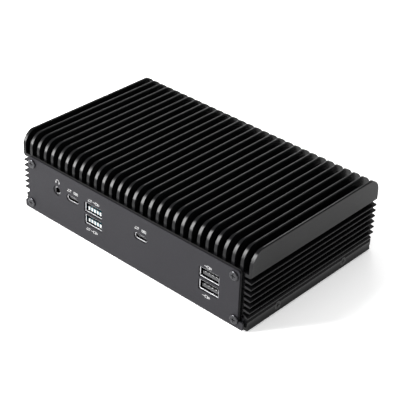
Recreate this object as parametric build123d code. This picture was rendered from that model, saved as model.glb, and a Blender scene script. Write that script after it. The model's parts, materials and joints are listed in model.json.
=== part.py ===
from build123d import *
import os

# Fanless mini pc: one extruded case body with fins on top and ribs on both sides, a sheet panel on a
# dark spacer at the front and at the rear, a bottom cover, and boards that hang upside down below
# the fins, so that the processor can pass its heat into them.
# Millimetres. X is left to right seen from the front, Y is front to back, Z is up.
# The origin is on the surface that the rubber feet stand on, under the middle of the case.

# ---- case ----
WIDTH = 171.8                # over the side walls and the side ribs
CORE_DEPTH = 105.25          # length of the case body, front to back
HEIGHT = 49.0                # from the rubber feet to the fin tips
FOOT_HEIGHT = 1.0
HALF_WIDTH = WIDTH / 2
HALF_DEPTH = CORE_DEPTH / 2
BASE_Z = FOOT_HEIGHT         # underside of the case

# ---- fins and top plate ----
FIN_COUNT = 30
FIN_ROOT = 2.0               # fin thickness at its foot
FIN_TIP = 1.7                # fin thickness at its tip
FIN_TIP_RADIUS = 0.75        # rounding of the two long edges of a fin tip
FIN_FLOOR_Z = 35.7           # floor of the grooves between the fins
FIN_END_RADIUS = 9.0         # rounding of the fins' upper front and rear corners
PLATE_LOW_Z = 33.2           # underside of the top plate
WALL_LOW_Z = 33.7            # lower edge of the outer side walls
WALL_LOW_RADIUS = 1.6
FIN_PITCH = (WIDTH - FIN_ROOT) / (FIN_COUNT - 1)

# ---- sides ----
RIB_ROOT_X = 81.0            # floor of the grooves between the ribs
SIDE_INNER_X = 78.4          # inner face of the side wall behind the ribs
RIB_COUNT = 6
RIB_PITCH = 3.6
RIB_TOP_Z = 30.7             # middle of the uppermost rib's tip
RIB_ROOT = 1.6
RIB_TIP = 0.9
RIB_RISE = 0.45              # a rib's root is this much higher than its tip
RIB_TIP_RADIUS = 0.4
RIB_GROOVE_RADIUS = 0.5
CORNER_INNER_X = 73.0        # the solid upper corner, which takes the upper panel screws
CORNER_LOW_Z = 30.6
BOSS_INNER_X = 74.6          # the solid lower corner, which takes the lower panel screws
BOSS_OUTER_X = 80.6
BOSS_LOW_Z = 2.6
BOSS_HIGH_Z = 10.6
SKIRT_INNER_X = 82.4         # the skirt hangs outside the bottom cover's flange
SKIRT_X = 84.9
SKIRT_NOTCH_X = 84.0

# ---- panels and their spacers ----
SPACER_THICKNESS = 1.2
PANEL_THICKNESS = 0.9
SPACER_FACE_Y = HALF_DEPTH + SPACER_THICKNESS
PANEL_FACE_Y = SPACER_FACE_Y + PANEL_THICKNESS
PANEL_HALF_WIDTH = 79.9
PANEL_LOW_Z = 1.6
PANEL_HIGH_Z = 36.6
PANEL_RADIUS = 1.8
PANEL_EAR_X = 83.5           # the panel is wider at the foot
PANEL_EAR_Z = 6.2
PANEL_EAR_RADIUS = 0.8
SPACER_INSET = 0.25          # the spacer stays this far inside the panel's outline

# ---- screws: radius of shank, radius and height of head ----
PANEL_SCREW_HIGH = (76.2, 32.7)
PANEL_SCREW_LOW = (77.8, 6.3)
PANEL_SCREW_LENGTH = 9.0
M3 = 1.5
M3_HEAD = 2.7
M3_HEAD_HEIGHT = 1.0
M25 = 1.25
M25_HEAD = 2.0
M25_HEAD_HEIGHT = 1.4
THREAD_GAP = 0.05            # between a shank and the wall of its hole
RECESS_DEPTH = 0.6           # of a cross recess
RECESS_ARM = 1.5
RECESS_WIDTH = 0.5

# ---- bottom ----
COVER_THICKNESS = 1.4
COVER_TOP_Z = BASE_Z + COVER_THICKNESS
FLANGE_OUTER_X = 82.2        # the cover's bent-up side flanges
FLANGE_HIGH_Z = 7.6
SIDE_SCREW_Y = 28.0
SIDE_SCREW_Z = 4.4
SIDE_SCREW_HEAD = 2.5
SIDE_SCREW_FACE_X = 84.6     # the face of a cover screw, flush with the hollow of the skirt
VESA_HALF = 37.5             # half of the 75 mm square of mounting holes
NUT_BORE = 1.65              # minor radius of an M4 thread
NUT_SHANK = 2.7
NUT_BODY = 3.5
NUT_TOP_Z = 6.0
FOOT_RADIUS = 7.0
FOOT_X = 66.0
FOOT_Y = 40.0

# ---- boards ----
BOARD_LOW_Z = 27.2           # underside of both circuit boards
BOARD_THICKNESS = 1.6
BOARD_TOP_Z = BOARD_LOW_Z + BOARD_THICKNESS
BOARD_X = (-62.0, 42.0)
BOARD_HALF_Y = 51.0
IO_BOARD_X = (45.5, 74.0)
BOARD_HOLES = ((-50.0, -43.8), (38.0, -46.0), (-46.3, 46.0), (38.0, 46.0))
IO_BOARD_HOLES = ((49.0, -33.0), (67.0, -33.0), (49.0, 40.0), (67.5, 30.0))
STANDOFF_RADIUS = 2.9        # across the hexagon's corners
STUD_LENGTH = 1.8            # depth of the threaded holes in the top plate

# ---- processor and its heat path ----
CHIP = (-8.0, 2.0)
SUBSTRATE_SIZE = (45.0, 25.0, 1.2)
DIE_SIZE = (19.0, 11.0, 0.6)
PAD_SIZE = (24.0, 16.0, 0.3)
BLOCK_SIZE = (56.0, 44.0)
BLOCK_HOLES = (23.0, 17.0)
BLOCK_CORNER_RADIUS = 3.0

# ---- memory ----
MODULE_X = (-58.8, 10.8)
MODULE_LENGTH = 30.0
MODULE_THICKNESS = 1.2
MEMORY_CHIP = (9.0, 11.0, 1.0)
SOCKET_DEPTH = 6.0
SOCKET_SIDE = 2.0            # the socket is this much wider than its module, on each side
SOCKET_WALL = 1.2            # of plastic beyond the module's faces
MODULE_INSERTION = 4.2
MEMORY_SOCKET_Y = -33.0      # front face of the socket
MODULE_LOW_Z = 24.0
SLOT_GAP = 0.1
LATCH_LENGTH = 17.0
LATCH_THICKNESS = 0.8
LATCH_HEIGHT = 2.6
LATCH_LIP = 0.9
LATCH_GAP = 0.15

# ---- storage ----
SSD_X = (-58.0, 22.0)
SSD_Y = (6.0, 28.0)
SSD_LOW_Z = 24.2
SSD_THICKNESS = 0.8
SSD_SOCKET_DEPTH = 8.0
SSD_NOTCH_RADIUS = 1.75
SSD_POST_RADIUS = 2.75

# ---- battery ----
BATTERY = (26.5, -15.0)
BATTERY_RADIUS = 10.0
BATTERY_HEIGHT = 3.2
HOLDER_RADIUS = 11.2

# ---- front sockets ----
PORT_PROUD = -0.5            # a socket's shell ends this far behind its panel's face
PORT_FACE_Y = PANEL_FACE_Y + PORT_PROUD
AUDIO = (-55.6, 23.8)
AUDIO_BORE = 1.8
AUDIO_NOSE = 2.7
AUDIO_BORE_LENGTH = 13.0
AUDIO_RING = (2.15, 1.8)     # outer radius of the metal ring and its depth in the socket
USB_C_PLACES = ((-42.9, 23.4), (10.4, 23.6))
USB_C_SIZE = (8.94, 3.26)
USB_C_WALL = 0.3
LIP_DEPTH = 0.3              # the mouths of the front sockets flare over this depth
LIP_FLARE = 0.2
USB_C_TONGUE = (6.69, 0.7)
USB_C_DEPTH = 8.0
USB_A_SIZE = (13.1, 5.72)
USB_A_WALL = 0.3
USB_A_PITCH = 7.85
USB_A_TOP_Z = 23.7           # middle of the upper socket of a stack
USB_A_DEPTH = 17.0
USB_A_HOUSING_HALF = 7.2
USB_A_TONGUE = (11.1, 1.84)
USB3_X = -26.2
USB2_X = 59.6
CUTOUT_GAP = 0.35            # between a shell and the panel around it

# ---- rear sockets ----
DC_JACK = (-53.5, 21.4)
DC_BORE = 3.2
DC_PIN = 1.25
DC_BODY_HALF = 4.6
DC_DEPTH = 14.0
HDMI = (-36.0, 24.2)
HDMI_SIZE = (15.0, 5.9)
DISPLAY = (-15.0, 24.3)
DISPLAY_SIZE = (17.0, 5.6)
VIDEO_WALL = 0.4
VIDEO_DEPTH = 12.0
LAN_PLACES = (6.0, 24.5)
LAN_SIZE = (16.0, 13.4)
LAN_DEPTH = 21.0
LAN_CAVITY = (11.9, 7.2)
LAN_KEY = (6.2, 2.6)
LAN_CAVITY_DEPTH = 14.0

# ---- power button and status light, in the rear panel ----
BUTTON = (62.0, 20.5)
BUTTON_RADIUS = 3.85
BUTTON_HOLE = 3.93
BUTTON_PROUD = 0.8
BUTTON_TRAVEL = 0.8
BUTTON_FLANGE = 4.8
HOUSING_INNER = 5.1
HOUSING_OUTER = 6.5
HOUSING_DEPTH = 7.6
HOUSING_FLOOR = 1.5
STEM_RADIUS = 1.5
STEM_HOLE = 1.6
PLUNGER_RADIUS = 1.4
SPRING_RADIUS = 2.8
SPRING_WIRE = 0.35
SPRING_TURNS = 5
LIGHT = (72.0, 20.5)
LIGHT_RADIUS = 1.4
LIGHT_HOLE = 1.5
LIGHT_REACH = 6.0            # from the end of the case body to the upright part of the pipe

REACH = 400.0                # longer than anything in the case


# ---------------------------------------------------------------- helpers

def block(x, y, z):
    """A box between the given low and high values along each axis."""
    size = [high - low for low, high in (x, y, z)]
    middle = [(low + high) / 2 for low, high in (x, y, z)]
    return Pos(*middle) * Box(*size)


def around(middle, size):
    """The low and high ends of a span of the given size."""
    return (middle - size / 2, middle + size / 2)


def prism_y(outline, y):
    """An outline in the XZ plane, made solid between two Y values."""
    return Pos(0, y[1], 0) * extrude(Plane.XZ * outline, amount=y[1] - y[0])


def prism_z(outline, z):
    return Pos(0, 0, z[0]) * extrude(outline, amount=z[1] - z[0])


def rod_x(x, y, z, radius):
    middle = (x[0] + x[1]) / 2
    return Pos(middle, y, z) * Rot(0, 90, 0) * Cylinder(radius, x[1] - x[0])


def rod_y(x, y, z, radius):
    middle = (y[0] + y[1]) / 2
    return Pos(x, middle, z) * Rot(90, 0, 0) * Cylinder(radius, y[1] - y[0])


def rod_z(x, y, z, radius):
    middle = (z[0] + z[1]) / 2
    return Pos(x, y, middle) * Cylinder(radius, z[1] - z[0])


def polygon(points):
    return make_face(Polyline(*points, close=True))


def plate_outline(middle, size, radius):
    """A rectangle with rounded corners, in the XZ or XY plane."""
    return Pos(*middle) * RectangleRounded(*size, radius)


def mirrored(shape):
    """The same part for the other side of the case."""
    return mirror(shape, about=Plane.YZ)


def turned(shape):
    """The same part for the other end of the case, mirrored front to back."""
    return mirror(shape, about=Plane.XZ)


def group(solids):
    """Separate solids that share one node."""
    return Part() + list(solids)


def save(name, shape):
    export_step(shape, "parts/" + name + ".step")


def cross_recess(length):
    """A cross-shaped recess that reaches down from the plane Z = 0."""
    arm = block(around(0, 2 * length), around(0, RECESS_WIDTH), (-RECESS_DEPTH, RECESS_DEPTH))
    return arm + Rot(0, 0, 90) * arm


def pan_screw(shank, head, head_height, length):
    """A pan-head screw along Z: the head sits on Z = 0 and the shank goes down."""
    top = rod_z(0, 0, (0, head_height), head)
    top = fillet(top.edges().group_by(Axis.Z)[-1], head_height * 0.55)
    body = top + rod_z(0, 0, (-length, 0), shank)
    return body - Pos(0, 0, head_height) * cross_recess(min(RECESS_ARM, head * 0.6))


def countersunk_screw(shank, head, length):
    """A flat-head screw along Z: the head's face is on Z = 0."""
    cone = Pos(0, 0, -(head - shank) / 2) * Cone(shank, head, head - shank)
    body = cone + rod_z(0, 0, (-length, -(head - shank) / 2), shank)
    return body - cross_recess(RECESS_ARM)


# ---------------------------------------------------------------- case body

def fin_places():
    first = -HALF_WIDTH + FIN_ROOT / 2
    return [first + i * FIN_PITCH for i in range(FIN_COUNT)]


def fin_outline(x):
    """One tapered fin with a rounded tip. The outermost fins are flush with the side walls."""
    foot = FIN_FLOOR_Z - 1
    left = FIN_TIP / 2
    right = FIN_TIP / 2
    if x + FIN_ROOT > HALF_WIDTH:
        right = FIN_ROOT / 2
    if x - FIN_ROOT < -HALF_WIDTH:
        left = FIN_ROOT / 2
    points = [(x - FIN_ROOT / 2, foot), (x + FIN_ROOT / 2, foot), (x + right, HEIGHT), (x - left, HEIGHT)]
    fin = polygon(points)
    return fillet(fin.vertices().group_by(Axis.Y)[-1], FIN_TIP_RADIUS)


def wall_foot_outline():
    """The lower edge of the right side wall, rounded where it faces the ribs."""
    foot = block_outline((RIB_ROOT_X, HALF_WIDTH), (WALL_LOW_Z, FIN_FLOOR_Z))
    corner = foot.vertices().sort_by(Axis.X)[-2:].sort_by(Axis.Y)[0]
    return fillet(corner, WALL_LOW_RADIUS)


def rib_outline(z):
    """One tapered rib on the right side, with a sloping upper face."""
    low = z + RIB_RISE - RIB_ROOT / 2
    high = z + RIB_RISE + RIB_ROOT / 2
    rib = polygon([(RIB_ROOT_X - 1, low), (RIB_ROOT_X, low), (HALF_WIDTH, z - RIB_TIP / 2),
                   (HALF_WIDTH, z + RIB_TIP / 2), (RIB_ROOT_X, high), (RIB_ROOT_X - 1, high)])
    return fillet(rib.vertices().group_by(Axis.X)[-1], RIB_TIP_RADIUS)


def skirt_outline():
    """The right side's lower edge: a shoulder, a shallow notch and a slightly hollow skirt."""
    edge = Polyline((RIB_ROOT_X, 11.0), (SKIRT_X - 1.1, 9.6), (SKIRT_X, 8.9), (SKIRT_X - 0.1, 8.1),
                    (SKIRT_NOTCH_X, 7.3), (SKIRT_X - 0.1, 6.2))
    hollow = ThreePointArc((SKIRT_X - 0.1, 6.2), (SKIRT_X - 0.35, (6.2 + BASE_Z) / 2), (SKIRT_X, BASE_Z))
    inside = Polyline((SKIRT_X, BASE_Z), (SKIRT_INNER_X, BASE_Z), (SKIRT_INNER_X, 9.2),
                      (BOSS_OUTER_X, 9.2), (BOSS_OUTER_X, 11.0), (RIB_ROOT_X, 11.0))
    return make_face([edge, hollow, inside])


def block_outline(x, z):
    return Pos((x[0] + x[1]) / 2, (z[0] + z[1]) / 2) * Rectangle(x[1] - x[0], z[1] - z[0])


def side_outline():
    """The right side of the body's section: wall foot, corner, web, ribs, lower boss and skirt."""
    corner = block_outline((CORNER_INNER_X, RIB_ROOT_X), (CORNER_LOW_Z, FIN_FLOOR_Z))
    web = block_outline((SIDE_INNER_X, RIB_ROOT_X), (BOSS_HIGH_Z - 1, FIN_FLOOR_Z))
    boss = block_outline((BOSS_INNER_X, BOSS_OUTER_X), (BOSS_LOW_Z, BOSS_HIGH_Z))
    ribs = [rib_outline(RIB_TOP_Z - i * RIB_PITCH) for i in range(RIB_COUNT)]
    section = corner + web + boss + skirt_outline() + wall_foot_outline() + ribs
    roots = []
    for vertex in section.vertices():
        on_groove_floor = abs(vertex.X - RIB_ROOT_X) < 0.01
        between_ribs = RIB_TOP_Z - RIB_COUNT * RIB_PITCH + RIB_ROOT < vertex.Y < RIB_TOP_Z + RIB_RISE
        if on_groove_floor and between_ribs:
            roots.append(vertex)
    return fillet(roots, RIB_GROOVE_RADIUS)


def body_outline():
    """The section of the case body, the same over its whole length."""
    plate = block_outline((-RIB_ROOT_X, RIB_ROOT_X), (PLATE_LOW_Z, FIN_FLOOR_Z))
    side = side_outline()
    return plate + side + mirror(side, about=Plane.YZ) + [fin_outline(x) for x in fin_places()]


def end_rounding():
    """A solid that rounds the fins' upper front and rear corners when the body is cut to it."""
    side = Pos(0, HEIGHT - CORE_DEPTH / 2) * Rectangle(CORE_DEPTH, CORE_DEPTH)
    side = fillet(side.vertices().group_by(Axis.Y)[-1], FIN_END_RADIUS)
    return extrude(Plane.YZ * side, amount=WIDTH, both=True)


def case_body():
    """The extruded body with its threaded holes and the countersinks of the cover screws."""
    body = prism_y(body_outline(), (-HALF_DEPTH, HALF_DEPTH)) & end_rounding()
    for x, y in BOARD_HOLES + IO_BOARD_HOLES:
        body -= rod_z(x, y, (PLATE_LOW_Z - 1, PLATE_LOW_Z + STUD_LENGTH), M3 + THREAD_GAP)
    for x, y in block_screw_places():
        body -= rod_z(x, y, (PLATE_LOW_Z - 1, PLATE_LOW_Z + STUD_LENGTH), M25 + THREAD_GAP)
    for x, z in (PANEL_SCREW_HIGH, PANEL_SCREW_LOW):
        for side in (-x, x):
            hole = rod_y(side, (HALF_DEPTH - PANEL_SCREW_LENGTH, HALF_DEPTH + 1), z, M3 + THREAD_GAP)
            body -= hole
            body -= turned(hole)
    for y in (-SIDE_SCREW_Y, SIDE_SCREW_Y):
        cut = rod_x((SKIRT_INNER_X - 1, SKIRT_X + 1), y, SIDE_SCREW_Z, M25 + THREAD_GAP) + side_screw_seat(y)
        body -= cut
        body -= mirrored(cut)
    return body


def side_screw_seat(y):
    """The countersink of a cover screw in the right skirt."""
    depth = SIDE_SCREW_HEAD - M25
    cone = Pos(SIDE_SCREW_FACE_X - depth / 2, y, SIDE_SCREW_Z) * Rot(0, 90, 0) * Cone(M25, SIDE_SCREW_HEAD, depth)
    return cone + rod_x((SIDE_SCREW_FACE_X, SKIRT_X + 1), y, SIDE_SCREW_Z, SIDE_SCREW_HEAD)


# ---------------------------------------------------------------- panels, spacers and cover

def panel_outline():
    wide = plate_outline((0, (PANEL_LOW_Z + PANEL_HIGH_Z) / 2),
                         (2 * PANEL_HALF_WIDTH, PANEL_HIGH_Z - PANEL_LOW_Z), PANEL_RADIUS)
    ears = plate_outline((0, (PANEL_LOW_Z + PANEL_EAR_Z) / 2),
                         (2 * PANEL_EAR_X, PANEL_EAR_Z - PANEL_LOW_Z), PANEL_EAR_RADIUS)
    return wide + ears


def spacer_outline():
    low = PANEL_LOW_Z + SPACER_INSET
    high = PANEL_HIGH_Z - SPACER_INSET
    return plate_outline((0, (low + high) / 2), (2 * (PANEL_HALF_WIDTH - SPACER_INSET), high - low), PANEL_RADIUS)


def usb_a_places(x):
    return [(x, USB_A_TOP_Z), (x, USB_A_TOP_Z - USB_A_PITCH)]


def grown(size, gap):
    return (size[0] + 2 * gap, size[1] + 2 * gap)


def front_cutouts(gap):
    """The outline of every opening in the front panel, larger than its socket by the gap."""
    outline = Pos(*AUDIO) * Circle(AUDIO_NOSE + gap)
    gap += LIP_FLARE - 0.1
    for place in USB_C_PLACES:
        outline += Pos(*place) * SlotOverall(*grown(USB_C_SIZE, gap))
    for place in usb_a_places(USB3_X) + usb_a_places(USB2_X):
        outline += plate_outline(place, grown(USB_A_SIZE, gap), 0.8)
    return outline


def rear_cutouts(gap):
    """The outline of every opening in the rear panel, larger than its socket by the gap."""
    outline = Pos(*DC_JACK) * Circle(DC_BODY_HALF - 0.4 + gap)
    outline += plate_outline(HDMI, grown(HDMI_SIZE, gap), 0.8)
    outline += plate_outline(DISPLAY, grown(DISPLAY_SIZE, gap), 0.8)
    for x in LAN_PLACES:
        outline += plate_outline((x, BOARD_LOW_Z - LAN_SIZE[1] / 2), grown(LAN_SIZE, gap), 0.5)
    outline += Pos(*BUTTON) * Circle(BUTTON_HOLE)
    outline += Pos(*LIGHT) * Circle(LIGHT_HOLE)
    return outline


def panel_screw_outline(radius):
    places = []
    for x, z in (PANEL_SCREW_HIGH, PANEL_SCREW_LOW):
        places += [(x, z), (-x, z)]
    outline = Sketch()
    for place in places:
        outline += Pos(*place) * Circle(radius)
    return outline


def front_panel():
    outline = panel_outline() - front_cutouts(CUTOUT_GAP) - panel_screw_outline(M3 + 0.1)
    return prism_y(outline, (-PANEL_FACE_Y, -SPACER_FACE_Y))


def rear_panel():
    outline = panel_outline() - rear_cutouts(CUTOUT_GAP) - panel_screw_outline(M3 + 0.1)
    return prism_y(outline, (SPACER_FACE_Y, PANEL_FACE_Y))


def front_spacer():
    outline = spacer_outline() - front_cutouts(2 * CUTOUT_GAP) - panel_screw_outline(M3 + 0.3)
    return prism_y(outline, (-SPACER_FACE_Y, -HALF_DEPTH))


def rear_spacer():
    outline = spacer_outline() - rear_cutouts(2 * CUTOUT_GAP) - panel_screw_outline(M3 + 0.3)
    return prism_y(outline, (HALF_DEPTH, SPACER_FACE_Y))


def vesa_places():
    return [(x, y) for x in (-VESA_HALF, VESA_HALF) for y in (-VESA_HALF, VESA_HALF)]


def bottom_cover():
    """A flat plate with a flange bent up along each side."""
    y = (-HALF_DEPTH, HALF_DEPTH)
    body = block((-FLANGE_OUTER_X, FLANGE_OUTER_X), y, (BASE_Z, COVER_TOP_Z))
    for side in (-1, 1):
        x = sorted((side * FLANGE_OUTER_X, side * (FLANGE_OUTER_X - COVER_THICKNESS)))
        body += block(x, y, (BASE_Z, FLANGE_HIGH_Z))
    bends = body.edges().filter_by(Axis.Y).group_by(Axis.Z)[0]
    body = fillet(bends, COVER_THICKNESS * 0.8)
    for x, y in vesa_places():
        body -= rod_z(x, y, (BASE_Z - 1, COVER_TOP_Z + 1), NUT_SHANK)
    for y in (-SIDE_SCREW_Y, SIDE_SCREW_Y):
        body -= rod_x((-REACH / 2, REACH / 2), y, SIDE_SCREW_Z, M25 + THREAD_GAP)
    return body


def mounting_nuts():
    """Press nuts with an M4 thread, flush with the outside of the bottom cover."""
    nuts = []
    for x, y in vesa_places():
        nut = rod_z(x, y, (BASE_Z, COVER_TOP_Z), NUT_SHANK) + rod_z(x, y, (COVER_TOP_Z, NUT_TOP_Z), NUT_BODY)
        nuts.append(nut - rod_z(x, y, (BASE_Z - 1, NUT_TOP_Z + 1), NUT_BORE))
    return group(nuts)


def rubber_feet():
    feet = []
    for x in (-FOOT_X, FOOT_X):
        for y in (-FOOT_Y, FOOT_Y):
            foot = rod_z(x, y, (0, BASE_Z), FOOT_RADIUS)
            foot = fillet(foot.edges().group_by(Axis.Z)[0], 0.6)
            feet.append(foot)
    return group(feet)


def front_panel_screws():
    screws = []
    for x, z in (PANEL_SCREW_HIGH, PANEL_SCREW_LOW):
        for side in (-x, x):
            screw = pan_screw(M3, M3_HEAD, M3_HEAD_HEIGHT, PANEL_SCREW_LENGTH)
            screws.append(Pos(side, -PANEL_FACE_Y, z) * Rot(90, 0, 0) * screw)
    return group(screws)


def bottom_cover_screws():
    screws = []
    length = SIDE_SCREW_FACE_X - BOSS_OUTER_X - 0.1
    for y in (-SIDE_SCREW_Y, SIDE_SCREW_Y):
        screw = countersunk_screw(M25, SIDE_SCREW_HEAD, length)
        right = Pos(SIDE_SCREW_FACE_X, y, SIDE_SCREW_Z) * Rot(0, 90, 0) * screw
        screws += [right, mirrored(right)]
    return group(screws)


# ---------------------------------------------------------------- boards and what is on them

def board(x, holes):
    """A bare circuit board with its mounting holes."""
    outline = plate_outline(((x[0] + x[1]) / 2, 0), (x[1] - x[0], 2 * BOARD_HALF_Y), 1.5)
    for place in holes:
        outline -= Pos(*place) * Circle(M25 + 0.2)
    return prism_z(outline, (BOARD_LOW_Z, BOARD_TOP_Z))


def mainboard():
    return board(BOARD_X, BOARD_HOLES)


def io_board():
    return board(IO_BOARD_X, IO_BOARD_HOLES)


def board_standoffs():
    """Hexagonal pillars with a stud in the top plate and a thread for the board screw."""
    pillars = []
    for place in BOARD_HOLES + IO_BOARD_HOLES:
        hexagon = Pos(*place) * RegularPolygon(STANDOFF_RADIUS, 6)
        pillar = prism_z(hexagon, (BOARD_TOP_Z, PLATE_LOW_Z))
        pillar += rod_z(*place, (PLATE_LOW_Z, PLATE_LOW_Z + STUD_LENGTH - 0.2), M3)
        pillar -= rod_z(*place, (BOARD_TOP_Z - 1, BOARD_TOP_Z + 4), M25 + THREAD_GAP)
        pillars.append(pillar)
    return group(pillars)


def board_screws():
    screws = []
    for x, y in BOARD_HOLES + IO_BOARD_HOLES:
        screw = pan_screw(M25, M25_HEAD, M25_HEAD_HEIGHT, BOARD_THICKNESS + 3.5)
        screws.append(Pos(x, y, BOARD_LOW_Z) * Rot(180, 0, 0) * screw)
    return group(screws)


def chip(place, size, z):
    return block(around(place[0], size[0]), around(place[1], size[1]), (z, z + size[2]))


def die_low_z():
    return BOARD_TOP_Z + SUBSTRATE_SIZE[2]


def pad_low_z():
    return die_low_z() + DIE_SIZE[2]


def block_low_z():
    return pad_low_z() + PAD_SIZE[2]


def processor_substrate():
    return chip(CHIP, SUBSTRATE_SIZE, BOARD_TOP_Z)


def processor_die():
    return chip(CHIP, DIE_SIZE, die_low_z())


def thermal_pad():
    return chip(CHIP, PAD_SIZE, pad_low_z())


def block_screw_places():
    return [(CHIP[0] + i * BLOCK_HOLES[0], CHIP[1] + j * BLOCK_HOLES[1]) for i in (-1, 1) for j in (-1, 1)]


def heat_block():
    """The copper block that carries heat from the processor to the top plate."""
    body = prism_z(plate_outline(CHIP, BLOCK_SIZE, BLOCK_CORNER_RADIUS), (block_low_z(), PLATE_LOW_Z))
    for x, y in block_screw_places():
        body -= rod_z(x, y, (block_low_z() - 1, PLATE_LOW_Z + 1), M25 + THREAD_GAP)
    return body


def heat_block_screws():
    screws = []
    length = PLATE_LOW_Z + STUD_LENGTH - 0.2 - block_low_z()
    for x, y in block_screw_places():
        screw = pan_screw(M25, M25_HEAD, M25_HEAD_HEIGHT, length)
        screws.append(Pos(x, y, block_low_z()) * Rot(180, 0, 0) * screw)
    return group(screws)


def inductors():
    """The power stage's moulded inductors, in a row beside the processor."""
    size = (6.6, 6.6, 3.0)
    places = [(-48.0, -22.0 + i * 9.0) for i in range(6)]
    return group(soft_block(place, size, 0.8) for place in places)


def soft_block(place, size, radius):
    body = chip(place, size, BOARD_TOP_Z)
    return fillet(body.edges().filter_by(Axis.Z), radius)


def capacitors():
    """Round polymer capacitors, in a row beside the inductors."""
    cans = []
    for i in range(6):
        can = rod_z(-56.5, -22.0 + i * 9.0, (BOARD_TOP_Z, BOARD_TOP_Z + 3.8), 3.1)
        cans.append(fillet(can.edges().group_by(Axis.Z)[-1], 0.6))
    return group(cans)


def logic_chips():
    """The network, audio and port controllers on the board's upper side."""
    return group([chip((30.0, 22.0), (9.0, 9.0, 1.0), BOARD_TOP_Z), chip((30.0, 36.0), (9.0, 9.0, 1.0), BOARD_TOP_Z),
                  chip((30.0, -32.0), (7.0, 7.0, 0.9), BOARD_TOP_Z), chip((-34.0, -40.0), (6.0, 6.0, 0.9), BOARD_TOP_Z),
                  chip((6.0, -38.0), (5.0, 8.0, 1.2), BOARD_TOP_Z)])


def memory_socket():
    """A socket that hangs below the board and grips the module's edge."""
    x = (MODULE_X[0] - SOCKET_SIDE, MODULE_X[1] + SOCKET_SIDE)
    y = (MEMORY_SOCKET_Y, MEMORY_SOCKET_Y + SOCKET_DEPTH)
    body = block(x, y, (MODULE_LOW_Z - SOCKET_WALL, BOARD_LOW_Z))
    slot_x = (MODULE_X[0] - SLOT_GAP, MODULE_X[1] + SLOT_GAP)
    slot_y = (y[1] - MODULE_INSERTION - SLOT_GAP, y[1] + 1)
    slot_z = (MODULE_LOW_Z - SLOT_GAP, MODULE_LOW_Z + MODULE_THICKNESS + SLOT_GAP)
    return body - block(slot_x, slot_y, slot_z)


def memory_module():
    """A memory module: its small board and a row of chips on each face."""
    start = MEMORY_SOCKET_Y + SOCKET_DEPTH - MODULE_INSERTION
    low = MODULE_LOW_Z
    body = block(MODULE_X, (start, start + MODULE_LENGTH), (low, low + MODULE_THICKNESS))
    chip_y = around(start + MODULE_LENGTH * 0.58, MEMORY_CHIP[1])
    spacing = (MODULE_X[1] - MODULE_X[0]) / 4
    for i in range(4):
        chip_x = around(MODULE_X[0] + spacing * (i + 0.5), MEMORY_CHIP[0])
        body += block(chip_x, chip_y, (low - MEMORY_CHIP[2], low + MODULE_THICKNESS + MEMORY_CHIP[2]))
    return body


def memory_latch():
    """The sprung arm on the right of the memory socket, with a lip under the module."""
    inner = MODULE_X[1] + LATCH_GAP
    start = MEMORY_SOCKET_Y + SOCKET_DEPTH + LATCH_GAP
    lip_top = MODULE_LOW_Z - LATCH_GAP
    z = (lip_top - 0.6, lip_top - 0.6 + LATCH_HEIGHT)
    arm = block((inner, inner + LATCH_THICKNESS), (start, start + LATCH_LENGTH), z)
    lip = block((inner - LATCH_LIP, inner), (start + LATCH_LENGTH - 3, start + LATCH_LENGTH), (z[0], lip_top))
    tab = block((inner + LATCH_THICKNESS, inner + LATCH_THICKNESS + 1.2),
                (start + LATCH_LENGTH - 3, start + LATCH_LENGTH), z)
    return arm + lip + tab


def about_module(shape):
    """The same latch on the left of the module."""
    middle = (MODULE_X[0] + MODULE_X[1]) / 2
    return mirror(shape, about=Plane.YZ.offset(middle))


def ssd_middle_y():
    return (SSD_Y[0] + SSD_Y[1]) / 2


def ssd_socket():
    x = (SSD_X[1] - 2.0, SSD_X[1] - 2.0 + SSD_SOCKET_DEPTH)
    body = block(x, (SSD_Y[0] - 0.8, SSD_Y[1] + 0.8), (SSD_LOW_Z - 0.9, BOARD_LOW_Z))
    slot = block((x[0] - 1, SSD_X[1] + SLOT_GAP), (SSD_Y[0] - SLOT_GAP, SSD_Y[1] + SLOT_GAP),
                 (SSD_LOW_Z - SLOT_GAP, SSD_LOW_Z + SSD_THICKNESS + SLOT_GAP))
    return body - slot


def ssd_module():
    """The storage card: its board with a half-round screw notch, and three chips below it."""
    body = block(SSD_X, SSD_Y, (SSD_LOW_Z, SSD_LOW_Z + SSD_THICKNESS))
    body -= rod_z(SSD_X[0], ssd_middle_y(), (SSD_LOW_Z - 1, SSD_LOW_Z + 2), SSD_NOTCH_RADIUS)
    for x, length in ((-40.0, 16.0), (-20.0, 16.0), (4.0, 13.0)):
        body += block(around(x, length), around(ssd_middle_y(), 14.0), (SSD_LOW_Z - 1.1, SSD_LOW_Z))
    return body


def ssd_standoff():
    body = rod_z(SSD_X[0], ssd_middle_y(), (SSD_LOW_Z + SSD_THICKNESS, BOARD_LOW_Z), SSD_POST_RADIUS)
    return body - rod_z(SSD_X[0], ssd_middle_y(), (SSD_LOW_Z, BOARD_LOW_Z - 0.4), 1.0 + THREAD_GAP)


def ssd_screw():
    screw = pan_screw(1.0, 2.4, 0.9, 2.4)
    return Pos(SSD_X[0], ssd_middle_y(), SSD_LOW_Z) * Rot(180, 0, 0) * screw


def battery_holder():
    """A round holder, open below, with a thin floor against the board."""
    z = (BOARD_LOW_Z - BATTERY_HEIGHT - 1.2, BOARD_LOW_Z)
    body = rod_z(*BATTERY, z, HOLDER_RADIUS)
    return body - rod_z(*BATTERY, (z[0] - 1, z[1] - 0.8), BATTERY_RADIUS + 0.15)


def rtc_battery():
    top = BOARD_LOW_Z - 0.8
    body = rod_z(*BATTERY, (top - BATTERY_HEIGHT, top), BATTERY_RADIUS)
    return fillet(body.edges().group_by(Axis.Z)[0], 0.5)


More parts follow.
